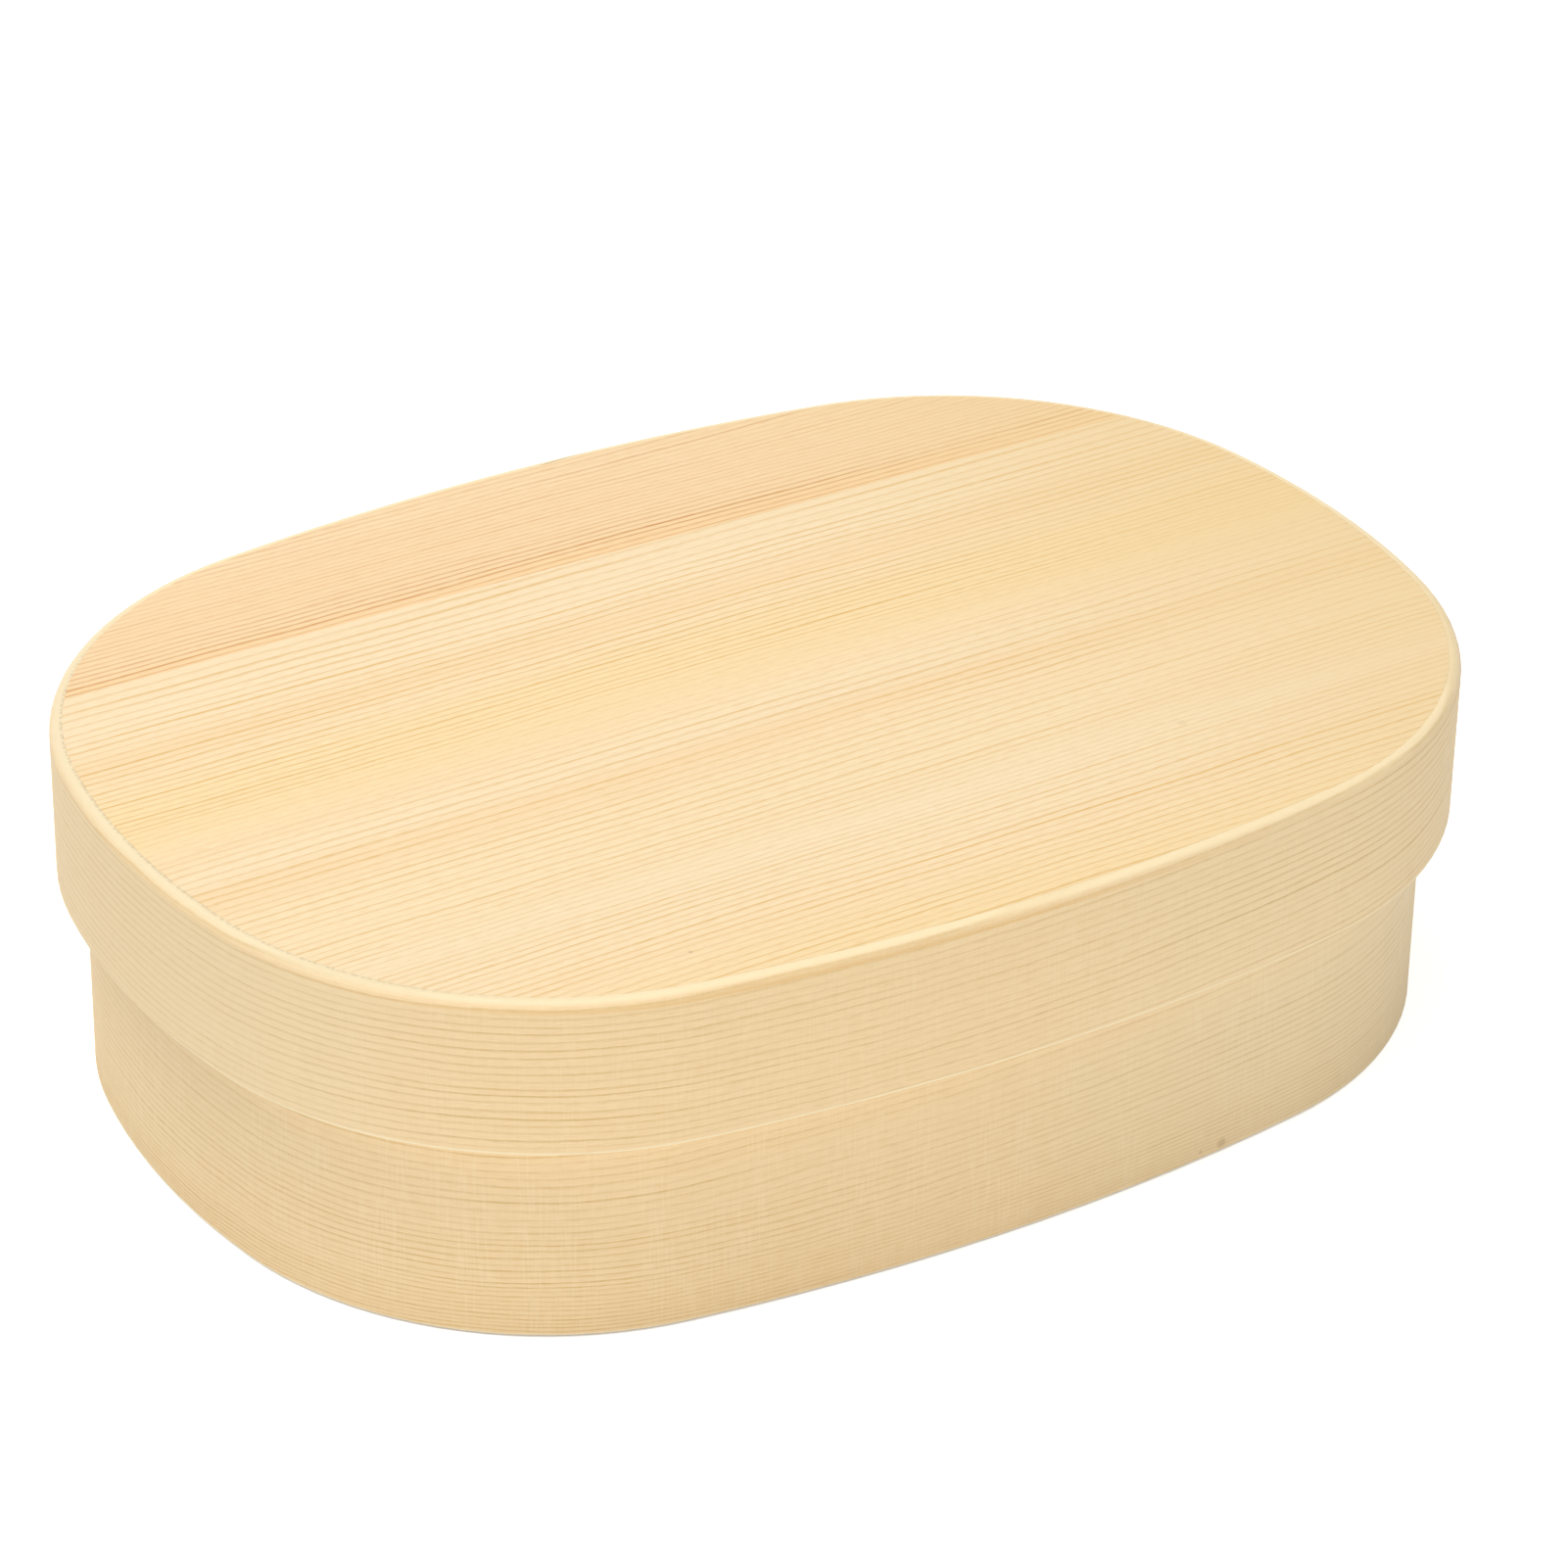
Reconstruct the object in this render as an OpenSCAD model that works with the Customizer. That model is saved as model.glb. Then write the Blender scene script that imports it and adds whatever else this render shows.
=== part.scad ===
// Bentwood lunch box: a body and a covering lid, each a thin board bent into a hoop round a glued-in panel.
// Units are millimetres. The box is centred on the origin, stands on z = 0, and has its laced laps at the back, +Y.

/* [Outline] */
// Length over the lid
length = 220; // [190:1:250]
// Width over the lid
width = 160; // [140:1:185]
// Height with the lid on
height = 60; // [52:1:80]
// Radius of the bowed long sides
side_r = 355; // [260:5:600]
// Radius of the bowed ends
end_r = 136; // [115:1:180]
// Radius of the four corners
corner_r = 63; // [45:1:72]

/* [Hoops] */
// Thickness of the lid's hoop
lid_wall = 3.6; // [3:0.1:5]
// Height of the lid's hoop
lid_h = 25.5; // [20:0.5:34]
// Thickness of the body's hoop
body_wall = 3.6; // [3:0.1:5]
// Gap all round between the lid's hoop and the body's hoop
lid_gap = 0.8; // [0.6:0.1:1.5]
// Radius of the round-over on the upper outer edge of the lid
top_round = 1.7; // [0.6:0.1:2]
// Flat left on top of the lid's hoop, between the round-over and the panel
rim_flat = 0.3; // [0.2:0.1:0.5]
// Bevel on the other edges of both hoops
edge_bevel = 0.4; // [0.2:0.1:0.7]

/* [Panels] */
// Thickness of the lid's panel
lid_panel_t = 4; // [3:0.1:6]
// Thickness of the bottom panel
bottom_t = 4; // [3:0.1:6]
// Width of the rebate that the bottom is let into
rebate = 1.6; // [1:0.1:1.8]
// Height of the bottom panel above the table
foot = 1; // [0.5:0.1:2]
// Glue line round the edge of each panel
glue = 0.03; // [0.03:0.01:0.2]
// Joint between the lid's two boards, measured back from the middle
lid_joint = 45.4; // [20:0.1:55]
// Joint between the bottom's two boards, measured back from the middle
bottom_joint = 24; // [10:0.5:45]

/* [Laps and lacing] */
// Length over which the two ends of a hoop overlap
lap = 36; // [24:1:48]
// Thickness left at each tapered end
lap_tip = 0.6; // [0.4:0.1:1]
// Gap in front of each tapered end
lap_butt = 0.3; // [0.2:0.05:0.6]
// Glue line along the taper
lap_glue = 0.1; // [0.08:0.01:0.2]
// Width of the bark strip
bark_w = 3.2; // [2:0.1:4.5]
// Thickness of the bark strip
bark_t = 0.5; // [0.4:0.05:0.7]
// How far the bark stands out of the wood
bark_proud = 0.2; // [0.1:0.05:0.25]
// Fit of the bark in its slits and grooves
bark_fit = 0.05; // [0.03:0.01:0.1]
// Length of a stitch across the lap
stitch = 7; // [5:0.5:12]
// Height from one stitch to the next
stitch_pitch = 6; // [5:0.5:9]
// Plain wood above the first stitch and below the last
stitch_margin = 3; // [2:0.5:6]

/* [Hidden] */
$fa = 1;
$fs = 0.3;

wood = "#ecd3a4";
wood_pink = "#e3bf94";
bark = "#6b2f1c";

// Levels of the closed box
lid_low = height - lid_h;
rim_z = height - lid_panel_t;
bottom_z = foot + bottom_t;

// Insets from the lid's outer face
body_inset = lid_wall + lid_gap;
lid_panel_inset = rim_flat + top_round + glue;
bottom_inset = body_inset + body_wall - rebate + glue;

// Arcs of the outline in the first quadrant: the corner touches the side and the end from within
side_c = [0, width / 2 - side_r];
end_c = [length / 2 - end_r, 0];
side_d = side_r - corner_r;
end_d = end_r - corner_r;
span = norm(end_c - side_c);
reach = (side_d * side_d - end_d * end_d + span * span) / (2 * span);
toward = (end_c - side_c) / span;
across = [toward[1], -toward[0]];
corner_c = side_c + reach * toward + sqrt(side_d * side_d - reach * reach) * across;
side_a = atan2(corner_c[1] - side_c[1], corner_c[0]);
end_a = atan2(corner_c[1], corner_c[0] - end_c[0]);

// The corner stretches overlap their neighbours by this angle, and stand this much proud, so that all fuse
overlap = 0.05;
proud = 0.005;
corner_sweep = side_a - end_a + 2 * overlap;

// Centre, radius, start angle and sweep of each stretch of the outline
arcs = [
  [end_c, end_r, -end_a, 2 * end_a],
  [side_c, side_r, side_a, 180 - 2 * side_a],
  [-end_c, end_r, 180 - end_a, 2 * end_a],
  [-side_c, side_r, 180 + side_a, 180 - 2 * side_a],
  [corner_c, corner_r + proud, end_a - overlap, corner_sweep],
  [[-corner_c[0], corner_c[1]], corner_r + proud, 180 - side_a - overlap, corner_sweep],
  [-corner_c, corner_r + proud, 180 + end_a - overlap, corner_sweep],
  [[corner_c[0], -corner_c[1]], corner_r + proud, 360 - side_a - overlap, corner_sweep]
];

// A margin for cuts that pass right through
past = 5;

// Sweeps a wall's section, drawn with x as depth from the outer face, round the outline
module bend_round(inset) {
  for (arc = arcs)
    translate(arc[0])
      rotate_extrude(start = arc[2], angle = arc[3])
        translate([arc[1] - inset, 0])
          mirror([1, 0]) children();
}

// The plan inside the outline: bowed sides and ends, with the corner circles rounding it off
module plan(inset) {
  blend = 0.02;
  shift = blend * [cos((side_a + end_a) / 2), sin((side_a + end_a) / 2)];
  to_side = corner_c + (corner_r - inset) * [cos(side_a), sin(side_a)];
  to_end = corner_c + (corner_r - inset) * [cos(end_a), sin(end_a)];
  intersection() {
    translate(side_c) circle(side_r - inset);
    translate(-side_c) circle(side_r - inset);
    translate(end_c) circle(end_r - inset);
    translate(-end_c) circle(end_r - inset);
    union() {
      square([2 * to_side[0], width], center = true);
      square([length, 2 * to_end[1]], center = true);
      polygon([for (s = [[1, 1], [-1, 1], [-1, -1], [1, -1]])
        each s[0] * s[1] > 0
          ? [[s[0] * to_end[0], s[1] * to_end[1]], [s[0] * to_side[0], s[1] * to_side[1]]]
          : [[s[0] * to_side[0], s[1] * to_side[1]], [s[0] * to_end[0], s[1] * to_end[1]]]]);
    }
  }
  for (sx = [-1, 1], sy = [-1, 1])
    translate([sx * (corner_c[0] + shift[0]), sy * (corner_c[1] + shift[1])])
      circle(corner_r - inset);
}

// One board of a panel, between two lines across the box
module board(inset, z, thick, y_from, y_to) {
  translate([0, 0, z])
    linear_extrude(thick)
      intersection() {
        plan(inset);
        translate([-length / 2, y_from]) square([length, y_to - y_from]);
      }
}

// Section of the body's hoop: rebated below for the bottom, bevelled on its edges
module body_section() {
  ring = body_wall - rebate;
  polygon([
    [edge_bevel, 0], [ring, 0], [ring, bottom_z], [body_wall, bottom_z],
    [body_wall, rim_z - edge_bevel], [body_wall - edge_bevel, rim_z],
    [edge_bevel, rim_z], [0, rim_z - edge_bevel], [0, edge_bevel]
  ]);
}

// Section of the lid's hoop: rebated above for the panel, rounded in short bevels on its upper outer edge
module lid_section() {
  ring = rim_flat + top_round;
  bevels = 6;
  polygon([
    [edge_bevel, lid_low], [lid_wall - edge_bevel, lid_low], [lid_wall, lid_low + edge_bevel],
    [lid_wall, rim_z], [ring, rim_z], [ring, height],
    for (k = [0 : bevels])
      let (a = 90 * k / bevels)
      [top_round * (1 - sin(a)), height - top_round * (1 - cos(a))],
    [0, lid_low + edge_bevel]
  ]);
}

// A point of the back wall, a way along it and a depth into it
function back_point(inset, way, depth) =
  let (r = side_r - inset, a = 90 - way / r * 180 / PI)
  side_c + (r - depth) * [cos(a), sin(a)];

// The gap between the two tapered ends of a hoop, which makes it an open strip
module lap_gap(inset, wall) {
  out = lap / 2;
  inn = -lap / 2;
  translate([0, 0, -past])
    linear_extrude(height + 2 * past)
      polygon([
        back_point(inset, out, -past), back_point(inset, out, lap_tip),
        back_point(inset, inn, wall - lap_tip), back_point(inset, inn, wall + past),
        back_point(inset, inn + lap_butt, wall + past),
        back_point(inset, inn + lap_butt, wall - lap_tip + lap_glue),
        back_point(inset, out + lap_butt, lap_tip + lap_glue), back_point(inset, out + lap_butt, -past)
      ]);
}

// Heights of the stitches that fit between two levels
function stitch_rows(low, high) =
  let (
    room = high - low - 2 * stitch_margin - bark_w,
    count = max(1, floor(room / stitch_pitch) + 1)
  )
  [for (k = [0 : count - 1]) (low + high) / 2 + (k - (count - 1) / 2) * stitch_pitch];

body_rows = stitch_rows(bottom_z, rim_z);
lid_rows = stitch_rows(lid_low, rim_z);

// A stitch seen from above: a bar over the lap, bent into a leg at each end
module stitch_section(wall) {
  inner = (stitch - bark_t) / 2;
  under = bark_proud - bark_t;
  translate([-inner, under]) square([2 * inner, bark_t]);
  for (side = [-1, 1]) {
    translate([side * stitch / 2 - bark_t / 2, -wall - bark_proud])
      square([bark_t, wall + bark_proud + under]);
    intersection() {
      translate([side * inner, under]) circle(bark_t);
      translate([side > 0 ? inner : -inner - bark_t, under]) square(bark_t);
    }
  }
}

// A slanted return on the inside, from the right leg of one row to the left leg of the row above
module stitch_return(low, high, wide, grow) {
  half_w = wide / 2;
  half_x = stitch / 2 + bark_t / 2 + grow;
  rotate([90, 0, 0])
    linear_extrude(bark_t + 2 * grow)
      polygon([[half_x, low - half_w], [half_x, low + half_w],
               [-half_x, high + half_w], [-half_x, high - half_w]]);
}

// The bark strip: in and out through the slits, from the lowest row to the highest
module lacing(inset, wall, rows) {
  translate([0, width / 2 - inset, 0]) {
    for (z = rows)
      translate([0, 0, z - bark_w / 2]) linear_extrude(bark_w) stitch_section(wall);
    if (len(rows) > 1)
      for (k = [1 : len(rows) - 1])
        translate([0, bark_t - wall - bark_proud, 0])
          stitch_return(rows[k - 1], rows[k], bark_w, 0);
  }
}

// What the lacing takes out of a hoop: slits, and shallow grooves for the bars and the returns
module lacing_cuts(inset, wall, rows) {
  slot_t = bark_t + 2 * bark_fit;
  slot_w = bark_w + 2 * bark_fit;
  groove = bark_t - bark_proud + bark_fit;
  translate([0, width / 2 - inset, 0]) {
    for (z = rows) {
      for (side = [-1, 1])
        translate([side * stitch / 2 - slot_t / 2, -wall - past, z - slot_w / 2])
          cube([slot_t, wall + 2 * past, slot_w]);
      translate([-stitch / 2, -groove, z - slot_w / 2])
        cube([stitch, groove + past, slot_w]);
    }
    if (len(rows) > 1)
      for (k = [1 : len(rows) - 1])
        translate([0, bark_t - wall - bark_proud + bark_fit, 0])
          stitch_return(rows[k - 1], rows[k], slot_w, bark_fit);
  }
}

module body_band() {
  color(wood)
    difference() {
      bend_round(body_inset) body_section();
      lap_gap(body_inset, body_wall);
      lacing_cuts(body_inset, body_wall, body_rows);
    }
}

module bottom_front_board() {
  color(wood) board(bottom_inset, foot, bottom_t, -width, bottom_joint);
}

module bottom_rear_board() {
  color(wood_pink) board(bottom_inset, foot, bottom_t, bottom_joint, width);
}

module body_lacing() {
  color(bark) lacing(body_inset, body_wall, body_rows);
}

module lid_band() {
  color(wood)
    difference() {
      bend_round(0) lid_section();
      lap_gap(0, lid_wall);
      lacing_cuts(0, lid_wall, lid_rows);
    }
}

module lid_front_board() {
  color(wood) board(lid_panel_inset, rim_z, lid_panel_t, -width, lid_joint);
}

module lid_rear_board() {
  color(wood_pink) board(lid_panel_inset, rim_z, lid_panel_t, lid_joint, width);
}

module lid_lacing() {
  color(bark) lacing(0, lid_wall, lid_rows);
}

body_band();
bottom_front_board();
bottom_rear_board();
body_lacing();
lid_band();
lid_front_board();
lid_rear_board();
lid_lacing();
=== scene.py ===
"""Bentwood lunch box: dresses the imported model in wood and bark, and sets the floor, light and camera."""
import math
from typing import NamedTuple

import bpy
from mathutils import Matrix, Vector


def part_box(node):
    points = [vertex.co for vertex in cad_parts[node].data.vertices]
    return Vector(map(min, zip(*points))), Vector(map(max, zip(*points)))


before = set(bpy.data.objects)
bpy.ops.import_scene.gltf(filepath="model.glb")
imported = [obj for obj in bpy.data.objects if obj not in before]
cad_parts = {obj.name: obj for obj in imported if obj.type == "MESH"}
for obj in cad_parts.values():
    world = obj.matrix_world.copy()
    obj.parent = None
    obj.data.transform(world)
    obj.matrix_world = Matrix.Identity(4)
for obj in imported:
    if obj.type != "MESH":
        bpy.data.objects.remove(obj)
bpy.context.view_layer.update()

MM = 0.001


class Noise(NamedTuple):
    """A noise: the length and width of its grains in mm, its own part of the seed, and its detail."""

    long: float
    wide: float
    shift: float
    detail: float = 0.0


class Timber(NamedTuple):
    """One board: ring zones, ground tints, seed, lean of the grain, ring colours, contrast, sway in mm."""

    zones: tuple
    tints: tuple
    seed: float
    tilt: float
    ring_colours: tuple
    contrast: float
    sway: float


class Hoop(NamedTuple):
    """What sets a hoop apart: its rim's round-over in mm, and how strongly each change of colour shows."""

    rim_round: float
    fleck: float
    reflection_left: float
    reflection_right: float
    glue_share: float
    shade_share: float


# Wood colours, as red, green and blue from 0 to 255
CREAM = (252, 230, 193)
PALE_STRAW = (252, 229, 189)
STRAW = (252, 227, 186)
YELLOW = (252, 226, 178)
HONEY = (251, 223, 180)
ROSE = (250, 220, 176)
AMBER = (251, 217, 168)
GRAIN = (250, 222, 176)
WHEAT = (247, 220, 175)
RING_TAN = (215, 165, 66)
RING_YELLOW = (228, 184, 110)
RING_RUST = (213, 153, 88)
RING_BROWN = (203, 138, 70)
SIDE_TAN = (212, 170, 90)
SIDE_BROWN = (207, 165, 82)
# Painted shade, darker and yellower, for the right end of the boards
SHADED_END_YELLOW = (238, 208, 152)
# Painted reflection of the white surround, for the cooler ends of the hoops
END_REFLECTION = (243, 227, 192)
# Pale raw wood for flecks and the underside, and for the worn arris with its painted highlight
EDGE_PALE = (255, 239, 204)
# Rubbed rim with a painted highlight on it, paler to the right and cooler to the left
RIM_WEAR_AND_HIGHLIGHT = (255, 237, 196)
RIM_COOL_WEAR_AND_HIGHLIGHT = (243, 227, 190)
EDGE_AMBER = (238, 196, 130)
# Dark glue, and the painted shade on the lower bevel
GLUE_AND_SHADE = (150, 122, 84)
MARK_BROWN = (150, 112, 70)

# Colours of the usual and of the strong rings
PALE_RINGS = (RING_TAN, RING_YELLOW)
PINK_RINGS = (RING_RUST, RING_BROWN)
SIDE_RINGS = (SIDE_TAN, SIDE_BROWN)

# Bark colours
BARK_DARK = (74, 30, 18)
BARK_RED = (124, 56, 32)
BARK_LIGHT = (176, 112, 70)

# Zones across a board: where each starts, in mm, its ring spacing in mm, and how strongly its rings show
LID_FRONT_ZONES = (
    (-80, 1.5, 0.75), (-62, 1.5, 1.0), (-55, 1.3, 1.0), (-48, 1.2, 0.6), (-44, 1.3, 0.62),
    (-38, 1.6, 0.9), (-28, 1.7, 0.85), (-22, 1.75, 1.05), (-14, 1.9, 1.05), (-8, 1.6, 0.95),
    (-4, 1.4, 0.6), (0, 1.3, 0.22), (4, 1.25, 0.6), (9, 1.3, 1.1), (14, 1.45, 1.15),
    (20, 1.55, 1.15), (28, 1.7, 1.1), (36, 2.2, 1.0), (48, 2.2, 1.0),
)
LID_REAR_ZONES = (
    (40, 1.5, 0.8), (46, 1.4, 1.55), (52, 1.3, 1.3), (57, 1.2, 0.6), (66, 1.4, 0.7), (80, 1.6, 0.75),
)
BOTTOM_FRONT_ZONES = ((-75, 1.4, 0.8), (-40, 1.9, 1.1), (-12, 1.3, 0.6), (10, 1.7, 1.0), (28, 1.5, 0.9))
BOTTOM_REAR_ZONES = ((20, 1.6, 1.3), (48, 1.25, 0.8), (75, 1.5, 1.0))
LID_HOOP_ZONES = ((30, 1.15, 0.4), (44, 1.35, 0.55), (62, 1.45, 0.65))
BODY_HOOP_ZONES = (
    (-2, 0.75, 0.7), (5, 0.8, 0.75), (10, 1.1, 0.75), (15, 1.2, 0.7), (22, 1.45, 0.5), (26, 1.35, 0.42),
    (36, 1.55, 0.44), (60, 1.4, 0.5),
)

# Ground colour across a board: where each colour lies, in mm
LID_FRONT_TINTS = (
    (-76, YELLOW), (-62, STRAW), (-48, CREAM), (-38, PALE_STRAW), (-26, PALE_STRAW), (-17, HONEY),
    (-12, CREAM), (-5, STRAW), (2, YELLOW), (12, YELLOW), (20, STRAW), (25, HONEY), (33, CREAM), (46, CREAM),
)
LID_REAR_TINTS = ((44, AMBER), (47, AMBER), (51, ROSE), (62, ROSE), (78, HONEY))
BOTTOM_FRONT_TINTS = ((-70, STRAW), (-30, CREAM), (0, STRAW), (24, HONEY))
BOTTOM_REAR_TINTS = ((24, ROSE), (70, HONEY))
LID_HOOP_TINTS = ((34, GRAIN), (60, GRAIN))
# The body's hoop is painted a little lighter towards its foot, a painted lift against the shade near the
# floor
BODY_HOOP_TINTS = ((0, GRAIN), (12, WHEAT), (25, WHEAT), (56, HONEY))

# Small dark marks in the wood: where each lies, in mm, its radius in mm and its depth of colour
LID_MARKS = (((-52.3, -66.0, 60.0), 0.5, 0.3), ((46.5, -46.2, 60.0), 1.2, 0.1))
BODY_MARKS = (((38.4, -73.5, 1.6), 1.2, 0.3), ((34.2, -73.9, 1.5), 0.5, 0.25))
MARK_CORE = 0.3

# The boards: rings vary most on the pale ones, and the grain of the bent ones sways most
BOARD_SWAY = 1.3
HOOP_SWAY = 2.4
HOOP_TILT = 0.015
PALE_CONTRAST = 1.0
PINK_CONTRAST = 0.2
HOOP_CONTRAST = 0.4
LID_FRONT = Timber(LID_FRONT_ZONES, LID_FRONT_TINTS, 1.7, 0.02, PALE_RINGS, PALE_CONTRAST, BOARD_SWAY)
LID_REAR = Timber(LID_REAR_ZONES, LID_REAR_TINTS, 31.4, 0.012, PINK_RINGS, PINK_CONTRAST, BOARD_SWAY)
BOTTOM_FRONT = Timber(
    BOTTOM_FRONT_ZONES, BOTTOM_FRONT_TINTS, 52.8, -0.01, PALE_RINGS, PALE_CONTRAST, BOARD_SWAY
)
BOTTOM_REAR = Timber(
    BOTTOM_REAR_ZONES, BOTTOM_REAR_TINTS, 71.6, 0.015, PINK_RINGS, PINK_CONTRAST, BOARD_SWAY
)
LID_SIDE = Timber(LID_HOOP_ZONES, LID_HOOP_TINTS, 12.9, HOOP_TILT, SIDE_RINGS, HOOP_CONTRAST, HOOP_SWAY)
BODY_SIDE = Timber(BODY_HOOP_ZONES, BODY_HOOP_TINTS, 43.5, HOOP_TILT, SIDE_RINGS, HOOP_CONTRAST, HOOP_SWAY)
LID_HOOP = Hoop(
    rim_round=1.7, fleck=0.1, reflection_left=0.35, reflection_right=0.3, glue_share=0.22, shade_share=0.0
)
BODY_HOOP = Hoop(
    rim_round=0.4, fleck=0.18, reflection_left=0.2, reflection_right=0.5, glue_share=0.0, shade_share=0.2
)

# Noises of the wood and the bark
NOISE_ROUGHNESS = 0.55
DRIFT = Noise(75, 30, 0.0)
RIPPLE = Noise(17, 9, 3.3)
UNEVEN = Noise(240, 2.4, 17.5)
FIBRES = Noise(2.6, 0.26, 14.2, 2.0)
FADING = Noise(45, 1, 5.1)
STREAKS = Noise(120, 3.2, 11.9, 2.0)
DASHES = Noise(1.4, 0.16, 27.7, 1.0)
RAYS = Noise(0.4, 7, 21.3, 1.0)
RAY_PATCHES = Noise(5, 40, 24.8)
GLUE_DASHES = Noise(0.9, 1, 33.0)
BARK_MOTTLE = Noise(2.6, 0.8, 2.0, 3.0)
BARK_PORES = Noise(1.3, 0.3, 9.0, 1.0)

# How far, in mm, the two smaller noises push the rings aside
RIPPLE_REACH = 0.6
UNEVEN_REACH = 0.7

# Ring lines: depth, mean weight, rarity of strong ones, and the stride in the noise from ring to ring
LINE_DEPTH = 0.5
MEAN_WEIGHT = 0.95
RARITY = 4.0
RING_STRIDE = 3.71

# Soft steps in the wood and the bark: where each starts and ends, and its level before and after
RING_RISE = (0.5, 0.86, 0.0, 1.0)
RING_FALL = (0.88, 1.0, 1.0, 0.0)
RING_FADE = (0.3, 0.7, 0.6, 1.15)
RING_BREAKS = (0.25, 0.7, 0.75, 1.15)
STRONG_RINGS = (0.55, 0.95, 0.0, 1.0)
STREAK_SHARE = (0.35, 0.75, 0.0, 0.07)
FIBRE_SHARE = (0.3, 0.75, 0.0, 0.16)
DASH_SHARE = (0.62, 0.78, 0.0, 0.2)
RAY_SHARE = (0.4, 0.7, 0.0, 1.0)
RAY_PATCH_SHARE = (0.3, 0.65, 0.3, 1.0)
GLUE_DASH_SHARE = (0.35, 0.6, 0.0, 1.0)
UNDERSIDE_SHARE = (-0.9, -0.8, 0.5, 0.0)
MOTTLE_SHARE = (0.3, 0.7, 0.0, 1.0)
PORE_SHARE = (0.6, 0.72, 0.0, 0.75)

# Soft steps along the box, in mm from its middle, most with their levels before and after
BOARD_END_SHADE = (10.0, 120.0, 0.0, 0.55)
BOOST_LEFT = (-95.0, -20.0, 1.7, 1.0)
BOOST_RIGHT = (-20.0, 70.0, 1.0, 2.3)
AMBER_LEFT = (-100.0, -45.0, 0.4, 1.0)
AMBER_RIGHT = (-20.0, 60.0, 0.6, 0.1)
RIM_WEAR_AND_HIGHLIGHT_TURN = (-105.0, -50.0, 0.0, 1.0)
RIM_WEAR_AND_HIGHLIGHT_SHARE = (0.0, 80.0, 0.7, 0.5)
LEFT_REFLECTION = (-115.0, -75.0)
RIGHT_REFLECTION = (-50.0, 90.0)
GLUE_STRETCH = (-98.0, -75.0)

# The hoops' form: half the lap in mm, its run for each mm of depth, and the bevel and the sides' radius in mm
LAP_HALF = 18.0
LAP_TAPER = 10.0
BEVEL = 0.4
SIDE_BOW = 355.0

# Grain that runs round: its mm for each radian, and a stretch of the width that evens it out
ROUND_SCALE = 95.0
ROUND_STRETCH = 1.2

# Edges of the hoops: shares of the round-over, the bevel or the colour, and lengths in mm
BROW_SHARE = 0.35
CROWN_SHARE = 0.1
BROW_BELOW = 0.1
FOOT_BELOW = 0.15
FOOT_ABOVE = 0.1
FLAT_FROM = 0.02
FLAT_TO = 0.01
ARRIS_WEAR_AND_HIGHLIGHT_SHARE = 0.8
ARRIS_WEAR_AND_HIGHLIGHT_FROM = 0.1
ARRIS_WEAR_AND_HIGHLIGHT_TO = 0.3
SHADE_FROM = 0.5

# Satin wood and polished bark
WOOD_SMOOTH = 0.52
RIM_SMOOTH = 0.37
FIBRE_ROUGH = 0.16
WOOD_SPECULAR = 0.15
LINE_RELIEF = 0.2
FIBRE_RELIEF = 0.5
WOOD_BUMP = 0.15
WOOD_DEPTH = 0.05 * MM
BARK_SMOOTH = 0.22
MOTTLE_ROUGH = 0.25
BARK_SPECULAR = 0.4
BARK_RELIEF = 0.5
BARK_BUMP = 0.35
BARK_DEPTH = 0.1 * MM

# Floor, surround and lamps, in metres and watts
WHITE = (1.0, 1.0, 1.0, 1.0)
FLOOR_GREY = (0.9, 0.9, 0.9, 1.0)
FLOOR_HALF = 3.0
FLOOR_LEVEL = -0.0002
FLOOR_LIFT = 0.65
# Reach and samples of the ambient occlusion that paints the contact shadow on the floor
CONTACT_SHADE_REACH = 0.3 * MM
CONTACT_SHADE_SAMPLES = 4
SKY_LEVELS = (0.15, 0.6, 0.47, 0.38)
BOX_MIDDLE = (0.0, 0.0, 0.03)
TOP_PLACE = (-0.3, 0.2, 1.3)
TOP_SIZE = (0.9, 0.9)
TOP_POWER = 12.2
FRONT_PLACE = (-0.58, -1.64, 0.25)
FRONT_SIZE = (1.4, 0.5)
FRONT_POWER = 8.2

# Sockets of the colour mixing node
MIX_SHARE = 0
MIX_FIRST = 6
MIX_SECOND = 7
MIX_RESULT = 2


def linear(colour):
    """Turns a 0 to 255 display colour into the linear RGBA that a shader takes."""
    parts = []
    for level in colour:
        share = level / 255.0
        parts.append(share / 12.92 if share <= 0.04045 else ((share + 0.055) / 1.055) ** 2.4)
    return (*parts, 1.0)


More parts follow.
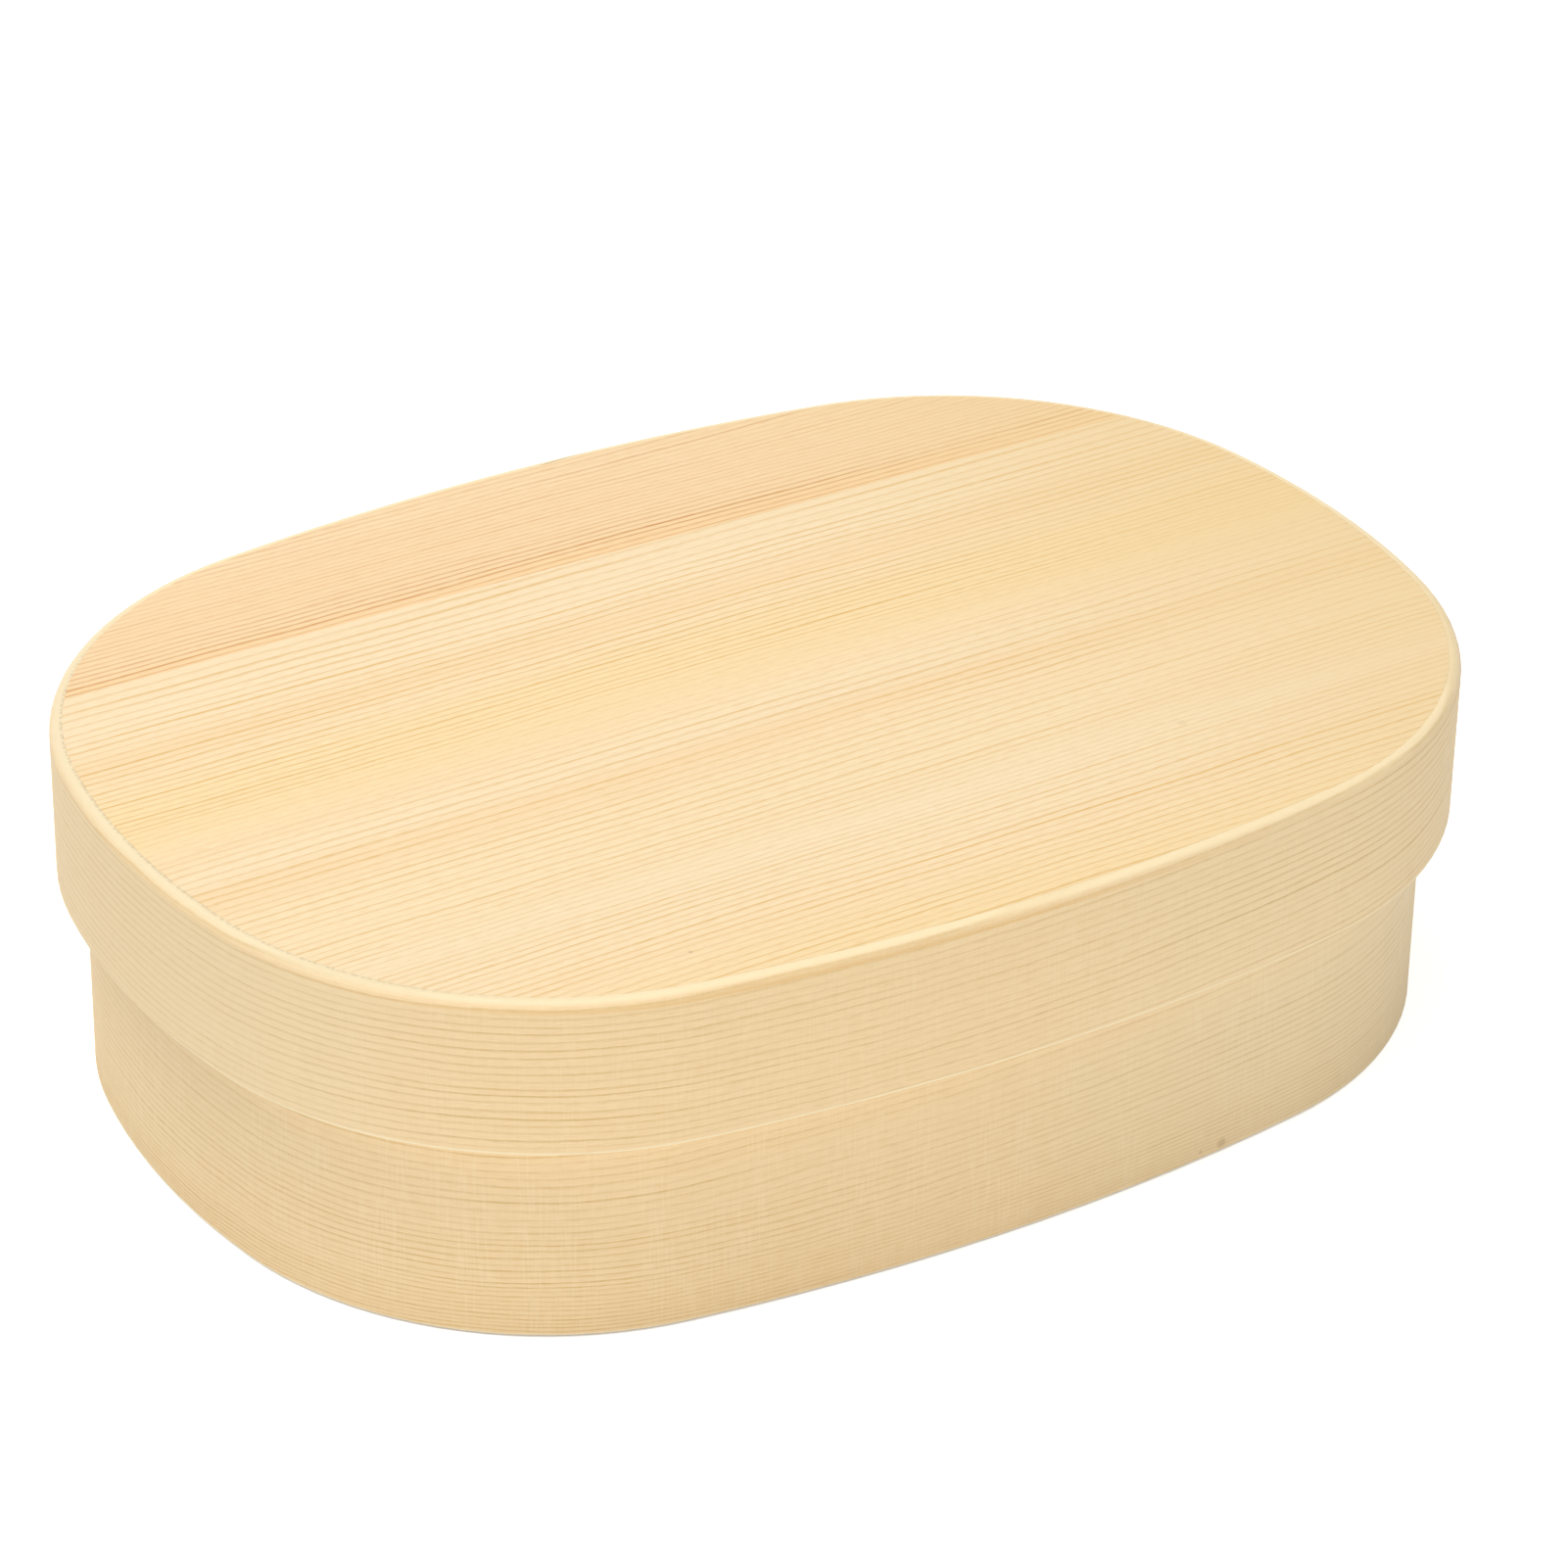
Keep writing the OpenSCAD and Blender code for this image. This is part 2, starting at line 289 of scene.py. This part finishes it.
class Graph:
    """Builds shader nodes by short calls; each value is a number, a colour or another node's output."""

    def __init__(self, tree):
        self.tree = tree

    def put(self, socket, value):
        if isinstance(value, bpy.types.NodeSocket):
            self.tree.links.new(value, socket)
        else:
            socket.default_value = value

    def node(self, kind, inputs=None, **settings):
        made = self.tree.nodes.new(kind)
        for key, value in settings.items():
            setattr(made, key, value)
        for key, value in (inputs or {}).items():
            self.put(made.inputs[key], value)
        return made

    def math(self, operation, first, second=0.0, third=0.0):
        made = self.node("ShaderNodeMath", operation=operation)
        for socket, value in zip(made.inputs, (first, second, third)):
            self.put(socket, value)
        return made.outputs[0]

    def add(self, first, second):
        return self.math("ADD", first, second)

    def times(self, first, second):
        return self.math("MULTIPLY", first, second)

    def larger(self, first, second):
        return self.math("MAXIMUM", first, second)

    def swing(self, noise, reach):
        """Turns noise from 0 to 1 into a push to either side, over a reach in all."""
        return self.times(self.add(noise, -0.5), reach)

    def step(self, value, low, high, to_low=0.0, to_high=1.0):
        """A soft step from one level to another as the value passes from low to high."""
        inputs = {"Value": value, "From Min": low, "From Max": high, "To Min": to_low, "To Max": to_high}
        return self.node("ShaderNodeMapRange", inputs, interpolation_type="SMOOTHSTEP").outputs["Result"]

    def spread(self, value, low, high):
        """A straight rise from 0 to 1 as the value passes from low to high."""
        inputs = {"Value": value, "From Min": low, "From Max": high}
        return self.node("ShaderNodeMapRange", inputs).outputs["Result"]

    def noise(self, along, across, grain, seed=0.0):
        """Smooth noise from 0 to 1, in grains that lie along the wood."""
        inputs = {
            "X": self.times(along, 1 / grain.long),
            "Y": self.times(across, 1 / grain.wide),
            "Z": seed + grain.shift,
        }
        place = self.node("ShaderNodeCombineXYZ", inputs)
        inputs = {
            "Vector": place.outputs[0],
            "Scale": 1.0,
            "Detail": grain.detail,
            "Roughness": NOISE_ROUGHNESS,
        }
        return self.node("ShaderNodeTexNoise", inputs).outputs["Fac"]

    def dice(self, number, seed):
        """One chance value from 0 to 1 for each whole number."""
        inputs = {"W": self.add(number, seed)}
        return self.node("ShaderNodeTexWhiteNoise", inputs, noise_dimensions="1D").outputs["Value"]

    def mix(self, share, first, second):
        """A blend of two colours: all first at a share of 0, all second at 1."""
        made = self.node("ShaderNodeMix", data_type="RGBA")
        for index, value in ((MIX_SHARE, share), (MIX_FIRST, first), (MIX_SECOND, second)):
            self.put(made.inputs[index], value)
        return made.outputs[MIX_RESULT]

    def colours(self, value, stops):
        """A run of colours, each at its place from 0 to 1; all places are set before any colour."""
        made = self.node("ShaderNodeValToRGB", {"Fac": value})
        band = made.color_ramp
        while len(band.elements) < len(stops):
            band.elements.new(0.5)
        for element, (place, _) in zip(band.elements, stops):
            element.position = place
        for element, (_, colour) in zip(band.elements, stops):
            element.color = colour
        return made.outputs["Color"]

    def curve(self, value, points):
        """A smooth curve through points that run from 0 to 1 both ways."""
        made = self.node("ShaderNodeFloatCurve", {"Value": value})
        line = made.mapping.curves[0].points
        for place, level in points[1:-1]:
            line.new(place, level)
        line[0].location = points[0]
        line[-1].location = points[-1]
        for point in line:
            point.handle_type = "AUTO_CLAMPED"
        made.mapping.update()
        return made.outputs["Value"]

    def relief(self, height, strength, depth):
        """A surface direction that follows a height, for fine relief."""
        bump = self.node("ShaderNodeBump", {"Strength": strength, "Distance": depth, "Height": height})
        return bump.outputs["Normal"]

    def object_place(self):
        """The place on the object in mm, as three outputs, and the facing upward there."""
        place = self.node("ShaderNodeTexCoord")
        parts = self.node("ShaderNodeSeparateXYZ", {"Vector": place.outputs["Object"]})
        facing = self.node("ShaderNodeSeparateXYZ", {"Vector": place.outputs["Normal"]})
        lengths = [self.times(part, 1.0 / MM) for part in parts.outputs]
        return lengths, facing.outputs["Z"]

    def seen(self):
        """1 for a ray that shows a surface to the eye, straight or reflected, and 0 for one that lights."""
        path = self.node("ShaderNodeLightPath")
        shown = self.larger(path.outputs["Is Camera Ray"], path.outputs["Is Glossy Ray"])
        return self.larger(shown, path.outputs["Is Transmission Ray"])


def new_material(name):
    """A material, its node graph and its main shader."""
    material = bpy.data.materials.new(name)
    material.use_nodes = True
    return material, Graph(material.node_tree), material.node_tree.nodes["Principled BSDF"]


def rings(graph, across, zones):
    """Counts the growth rings passed on the way across, and says how strongly they show there."""
    low = zones[0][0]
    high = zones[-1][0]
    count = 0.0
    totals = [0.0]
    for (start, spacing, _), (end, _, _) in zip(zones, zones[1:]):
        count += (end - start) / spacing
        totals.append(count)
    share = graph.spread(across, low, high)
    points = [((zone[0] - low) / (high - low), total / count) for zone, total in zip(zones, totals)]
    passed = graph.times(graph.curve(share, points), count)
    top = max(zone[2] for zone in zones)
    levels = [((zone[0] - low) / (high - low), (zone[2] / top,) * 3 + (1.0,)) for zone in zones]
    strength = graph.times(graph.colours(share, levels), top)
    return passed, strength


def wood(graph, along, across, timber, boost=1.0):
    """Straight-grained softwood, by mm along and across the grain: its colour, ring lines and fibres."""
    seed = timber.seed
    drift = graph.noise(along, across, DRIFT, seed)
    ripple = graph.noise(along, across, RIPPLE, seed)
    uneven = graph.noise(along, across, UNEVEN, seed)
    swayed = graph.add(graph.times(along, -timber.tilt), graph.swing(drift, timber.sway))
    swayed = graph.add(swayed, graph.swing(ripple, RIPPLE_REACH))
    swayed = graph.add(swayed, graph.swing(uneven, UNEVEN_REACH))
    level = graph.add(across, swayed)
    passed, strength = rings(graph, level, timber.zones)
    strength = graph.times(strength, boost)
    ring = graph.math("FLOOR", passed)
    within = graph.math("FRACT", passed)
    fibre = graph.noise(along, level, FIBRES, seed)

    # Each ring darkens slowly to its late wood and ends sharply; a few are strong, and all come and go
    rise = graph.step(within, *RING_RISE)
    fall = graph.step(within, *RING_FALL)
    chance = graph.dice(ring, seed)
    rare = graph.math("POWER", chance, RARITY)
    least_weight = MEAN_WEIGHT - timber.contrast / (RARITY + 1)
    weight = graph.math("MULTIPLY_ADD", rare, timber.contrast, least_weight)
    fade = graph.step(graph.noise(along, graph.times(ring, RING_STRIDE), FADING, seed), *RING_FADE)
    broken = graph.step(fibre, *RING_BREAKS)
    line = graph.times(graph.times(rise, fall), graph.times(weight, fade))
    line = graph.times(graph.times(line, broken), graph.times(strength, LINE_DEPTH))

    # Ground colour, with long yellow streaks, fine fibres and a few short dark dashes, under the rings
    usual, strong = (linear(colour) for colour in timber.ring_colours)
    low = timber.tints[0][0]
    high = timber.tints[-1][0]
    stops = [((place - low) / (high - low), linear(tint)) for place, tint in timber.tints]
    colour = graph.colours(graph.spread(level, low, high), stops)
    streak = graph.noise(along, level, STREAKS, seed)
    colour = graph.mix(graph.step(streak, *STREAK_SHARE), colour, linear(RING_YELLOW))
    colour = graph.mix(graph.step(fibre, *FIBRE_SHARE), colour, usual)
    dash = graph.noise(along, level, DASHES, seed)
    colour = graph.mix(graph.step(dash, *DASH_SHARE), colour, usual)
    late_colour = graph.mix(graph.step(chance, *STRONG_RINGS), usual, strong)
    colour = graph.mix(line, colour, late_colour)
    return colour, line, fibre


def add_marks(graph, colour, place, marks):
    """Darkens small soft spots, such as pin knots."""
    for spot, radius, depth in marks:
        away = [graph.add(part, -centre) for part, centre in zip(place, spot)]
        squares = [graph.times(part, part) for part in away]
        distance = graph.math("SQRT", graph.add(graph.add(squares[0], squares[1]), squares[2]))
        share = graph.step(distance, MARK_CORE * radius, radius, depth, 0.0)
        colour = graph.mix(share, colour, linear(MARK_BROWN))
    return colour


def finish_wood(graph, shader, colour, line, fibre, smoothest=WOOD_SMOOTH):
    """Gives the wood its satin coat, with late wood and fibres felt faintly in the surface."""
    graph.put(shader.inputs["Base Color"], colour)
    graph.put(shader.inputs["Roughness"], graph.math("MULTIPLY_ADD", fibre, FIBRE_ROUGH, smoothest))
    shader.inputs["Specular IOR Level"].default_value = WOOD_SPECULAR
    height = graph.math("MULTIPLY_ADD", line, LINE_RELIEF, graph.times(fibre, FIBRE_RELIEF))
    graph.put(shader.inputs["Normal"], graph.relief(height, WOOD_BUMP, WOOD_DEPTH))


def board_wood(name, timber, marks=()):
    """Wood for a flat board, its grain along the length of the box, with painted shade towards the right end,
    where it turns darker and yellower.
    """
    material, graph, shader = new_material(name)
    place, _ = graph.object_place()
    colour, line, fibre = wood(graph, place[0], place[1], timber)
    # Painted shade: the board turns darker and yellower towards the right end, where the light falls off
    colour = graph.mix(graph.step(place[0], *BOARD_END_SHADE), colour, linear(SHADED_END_YELLOW))
    colour = add_marks(graph, colour, place, marks)
    finish_wood(graph, shader, colour, line, fibre)
    return material


def hoop_wood(name, node, timber, hoop, marks=()):
    """Wood for a bent hoop, its grain running round the box and starting afresh at the lap."""
    lowest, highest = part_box(node)
    low = lowest.z / MM
    top = highest.z / MM
    back = highest.y / MM
    seed = timber.seed
    material, graph, shader = new_material(name)
    place, facing = graph.object_place()
    x, y, z = place
    outward = graph.math("MULTIPLY_ADD", graph.times(x, x), 0.5 / SIDE_BOW, graph.add(y, -back))
    lap_line = graph.math("MULTIPLY_ADD", outward, LAP_TAPER, LAP_HALF)
    lap_line = graph.math("MINIMUM", graph.larger(lap_line, -LAP_HALF), LAP_HALF)
    turn = graph.math("ARCTAN2", graph.math("SUBTRACT", x, lap_line), graph.times(y, -ROUND_STRETCH))
    along = graph.times(turn, ROUND_SCALE)
    boost = graph.times(graph.step(x, *BOOST_LEFT), graph.step(x, *BOOST_RIGHT))
    colour, line, fibre = wood(graph, along, z, timber, boost)

    # Painted reflection: the board is a little cooler and greyer towards both ends of the box, standing in
    # for the white surround seen where the sides turn away
    left_reflection = graph.step(x, *LEFT_REFLECTION, hoop.reflection_left, 0.0)
    right_reflection = graph.step(x, *RIGHT_REFLECTION, 0.0, hoop.reflection_right)
    colour = graph.mix(graph.add(left_reflection, right_reflection), colour, linear(END_REFLECTION))

    # Fine pale flecks stand across the grain on the bent face
    rays = graph.noise(along, z, RAYS, seed)
    patches = graph.noise(along, z, RAY_PATCHES, seed)
    flecks = graph.times(graph.step(rays, *RAY_SHARE), graph.step(patches, *RAY_PATCH_SHARE))
    colour = graph.mix(graph.times(flecks, hoop.fleck), colour, linear(EDGE_PALE))
    colour = add_marks(graph, colour, place, marks)

    # The rim is rubbed smooth on top and painted pale there, partly as rubbed wood and partly as a painted
    # highlight, and turns amber at the foot of its round-over
    foot = top - hoop.rim_round
    foot_end = foot + FOOT_ABOVE
    brow = top - BROW_SHARE * hoop.rim_round
    crown_start = top - CROWN_SHARE * hoop.rim_round
    smoothest = graph.step(z, foot, brow, WOOD_SMOOTH, RIM_SMOOTH)
    turned = graph.times(graph.step(z, foot - FOOT_BELOW, foot_end), graph.step(z, foot_end, brow, 1.0, 0.0))
    amber = graph.times(graph.step(x, *AMBER_LEFT), graph.step(x, *AMBER_RIGHT))
    colour = graph.mix(graph.times(turned, amber), colour, linear(EDGE_AMBER))
    rim_wear_and_highlight_colour = graph.mix(graph.step(x, *RIM_WEAR_AND_HIGHLIGHT_TURN), linear(RIM_COOL_WEAR_AND_HIGHLIGHT), linear(RIM_WEAR_AND_HIGHLIGHT))
    rim_wear_and_highlight_share = graph.step(x, *RIM_WEAR_AND_HIGHLIGHT_SHARE)
    crown_wear_and_highlight = graph.times(graph.step(z, brow - BROW_BELOW, crown_start), rim_wear_and_highlight_share)
    colour = graph.mix(crown_wear_and_highlight, colour, rim_wear_and_highlight_colour)

    # Towards the left end a broken line of glue shows dark on the flat beside the panel
    glue = graph.step(x, *GLUE_STRETCH, hoop.glue_share, 0.0)
    dashes = graph.step(graph.noise(along, 0.0, GLUE_DASHES, seed), *GLUE_DASH_SHARE)
    on_flat = graph.step(z, top - FLAT_FROM, top - FLAT_TO)
    colour = graph.mix(graph.times(on_flat, graph.times(glue, dashes)), colour, linear(GLUE_AND_SHADE))

    # The lower arris is worn pale and painted lighter still as a highlight where it catches the light, and
    # the underside shows raw wood; the bevel between them gets a painted shade, a contact shadow at the foot
    arris_wear_and_highlight = graph.step(z, low + BEVEL + ARRIS_WEAR_AND_HIGHLIGHT_FROM, low + BEVEL + ARRIS_WEAR_AND_HIGHLIGHT_TO, ARRIS_WEAR_AND_HIGHLIGHT_SHARE, 0.0)
    raw = graph.step(facing, *UNDERSIDE_SHARE)
    colour = graph.mix(graph.larger(arris_wear_and_highlight, raw), colour, linear(EDGE_PALE))
    shaded = graph.step(z, low + SHADE_FROM * BEVEL, low + BEVEL, hoop.shade_share, 0.0)
    colour = graph.mix(shaded, colour, linear(GLUE_AND_SHADE))
    finish_wood(graph, shader, colour, line, fibre, smoothest)
    return material


def bark_strip(name):
    """Polished bark: dark red-brown, with short pale pores lying along the strip."""
    material, graph, shader = new_material(name)
    (x, y, z), _ = graph.object_place()
    along = graph.add(x, y)
    mottle = graph.noise(along, z, BARK_MOTTLE)
    pores = graph.noise(along, z, BARK_PORES)
    colour = graph.mix(graph.step(mottle, *MOTTLE_SHARE), linear(BARK_DARK), linear(BARK_RED))
    colour = graph.mix(graph.step(pores, *PORE_SHARE), colour, linear(BARK_LIGHT))
    graph.put(shader.inputs["Base Color"], colour)
    graph.put(shader.inputs["Roughness"], graph.math("MULTIPLY_ADD", mottle, MOTTLE_ROUGH, BARK_SMOOTH))
    shader.inputs["Specular IOR Level"].default_value = BARK_SPECULAR
    height = graph.add(graph.times(mottle, BARK_RELIEF), graph.times(pores, BARK_RELIEF))
    graph.put(shader.inputs["Normal"], graph.relief(height, BARK_BUMP, BARK_DEPTH))
    return material


def dress(node, material):
    """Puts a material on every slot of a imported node."""
    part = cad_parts[node]
    if not part.material_slots:
        part.data.materials.append(material)
    for slot in part.material_slots:
        slot.material = material


def make_floor():
    """A wide pale floor, white to the eye, that keeps the shadow close under the box as a painted contact
    shadow, where ambient occlusion dims its whiteness.
    """
    half = FLOOR_HALF
    corners = [(-half, -half, 0), (half, -half, 0), (half, half, 0), (-half, half, 0)]
    mesh = bpy.data.meshes.new("floor")
    mesh.from_pydata(corners, [], [(0, 1, 2, 3)])
    floor = bpy.data.objects.new("floor", mesh)
    bpy.context.scene.collection.objects.link(floor)
    floor.location.z = FLOOR_LEVEL
    material, graph, shader = new_material("floor_paint")
    tree = graph.tree
    paint = graph.node("ShaderNodeBsdfDiffuse", {"Color": FLOOR_GREY})
    # Ambient occlusion paints the contact shadow into the floor's whiteness
    inputs = {"Distance": CONTACT_SHADE_REACH}
    contact_shade = graph.node("ShaderNodeAmbientOcclusion", inputs, samples=CONTACT_SHADE_SAMPLES).outputs["AO"]
    lifted = graph.times(graph.times(graph.seen(), contact_shade), FLOOR_LIFT)
    lift = graph.node("ShaderNodeEmission", {"Color": WHITE, "Strength": lifted})
    both = graph.node("ShaderNodeAddShader")
    tree.links.new(paint.outputs[0], both.inputs[0])
    tree.links.new(lift.outputs[0], both.inputs[1])
    tree.links.new(both.outputs[0], tree.nodes["Material Output"].inputs["Surface"])
    tree.nodes.remove(shader)
    mesh.materials.append(material)


def make_world():
    """A white surround where it is seen; as a light it is brighter near the horizon, as in a light tent."""
    world = bpy.data.worlds.new("studio")
    bpy.context.scene.world = world
    world.use_nodes = True
    graph = Graph(world.node_tree)
    ground = world.node_tree.nodes["Background"]
    place = graph.node("ShaderNodeTexCoord")
    parts = graph.node("ShaderNodeSeparateXYZ", {"Vector": place.outputs["Generated"]})
    light = graph.step(parts.outputs["Z"], *SKY_LEVELS)
    inputs = {"Value": graph.seen(), "To Min": light, "To Max": 1.0}
    level = graph.node("ShaderNodeMapRange", inputs).outputs["Result"]
    graph.put(ground.inputs["Strength"], level)
    ground.inputs["Color"].default_value = WHITE


def make_lamp(name, place, size, power):
    """A soft lamp at a place, turned to face the box."""
    light = bpy.data.lights.new(name, "AREA")
    light.shape = "RECTANGLE"
    light.size, light.size_y = size
    light.energy = power
    lamp = bpy.data.objects.new(name, light)
    lamp.location = place
    lamp.rotation_euler = (Vector(BOX_MIDDLE) - Vector(place)).to_track_quat("-Z", "Y").to_euler()
    bpy.context.scene.collection.objects.link(lamp)


def make_camera():
    """A long lens from above the front, turned slightly, as in a product picture."""
    azimuth = math.radians(-31.84)
    height = math.radians(30.02)
    roll = math.radians(0.964)
    distance = 913.18 * MM
    aside = -3.449 * MM
    above = -8.203 * MM
    lens = 133.2
    sensor = 36.0
    nearest = 0.05
    level = math.cos(height)
    back = Vector((math.sin(azimuth) * level, -math.cos(azimuth) * level, math.sin(height)))
    right = Vector((math.cos(azimuth), math.sin(azimuth), 0))
    up = back.cross(right)
    right_rolled = math.cos(roll) * right + math.sin(roll) * up
    up_rolled = math.cos(roll) * up - math.sin(roll) * right
    data = bpy.data.cameras.new("camera")
    data.lens = lens
    data.sensor_width = sensor
    data.clip_start = nearest
    camera = bpy.data.objects.new("camera", data)
    place = Vector(BOX_MIDDLE) + distance * back - aside * right_rolled - above * up_rolled
    turn = Matrix((right_rolled, up_rolled, back)).transposed().to_4x4()
    camera.matrix_world = Matrix.Translation(place) @ turn
    bpy.context.scene.collection.objects.link(camera)
    bpy.context.scene.camera = camera


bark = bark_strip("polished_bark")
dress("lid_front_board", board_wood("lid_front_wood", LID_FRONT, LID_MARKS))
dress("lid_rear_board", board_wood("lid_rear_wood", LID_REAR))
dress("bottom_front_board", board_wood("bottom_front_wood", BOTTOM_FRONT))
dress("bottom_rear_board", board_wood("bottom_rear_wood", BOTTOM_REAR))
dress("lid_band", hoop_wood("lid_hoop_wood", "lid_band", LID_SIDE, LID_HOOP))
dress("body_band", hoop_wood("body_hoop_wood", "body_band", BODY_SIDE, BODY_HOOP, BODY_MARKS))
dress("lid_lacing", bark)
dress("body_lacing", bark)

make_floor()
make_world()
make_lamp("top_lamp", TOP_PLACE, TOP_SIZE, TOP_POWER)
make_lamp("front_lamp", FRONT_PLACE, FRONT_SIZE, FRONT_POWER)
make_camera()
bpy.context.scene.view_settings.view_transform = "Standard"
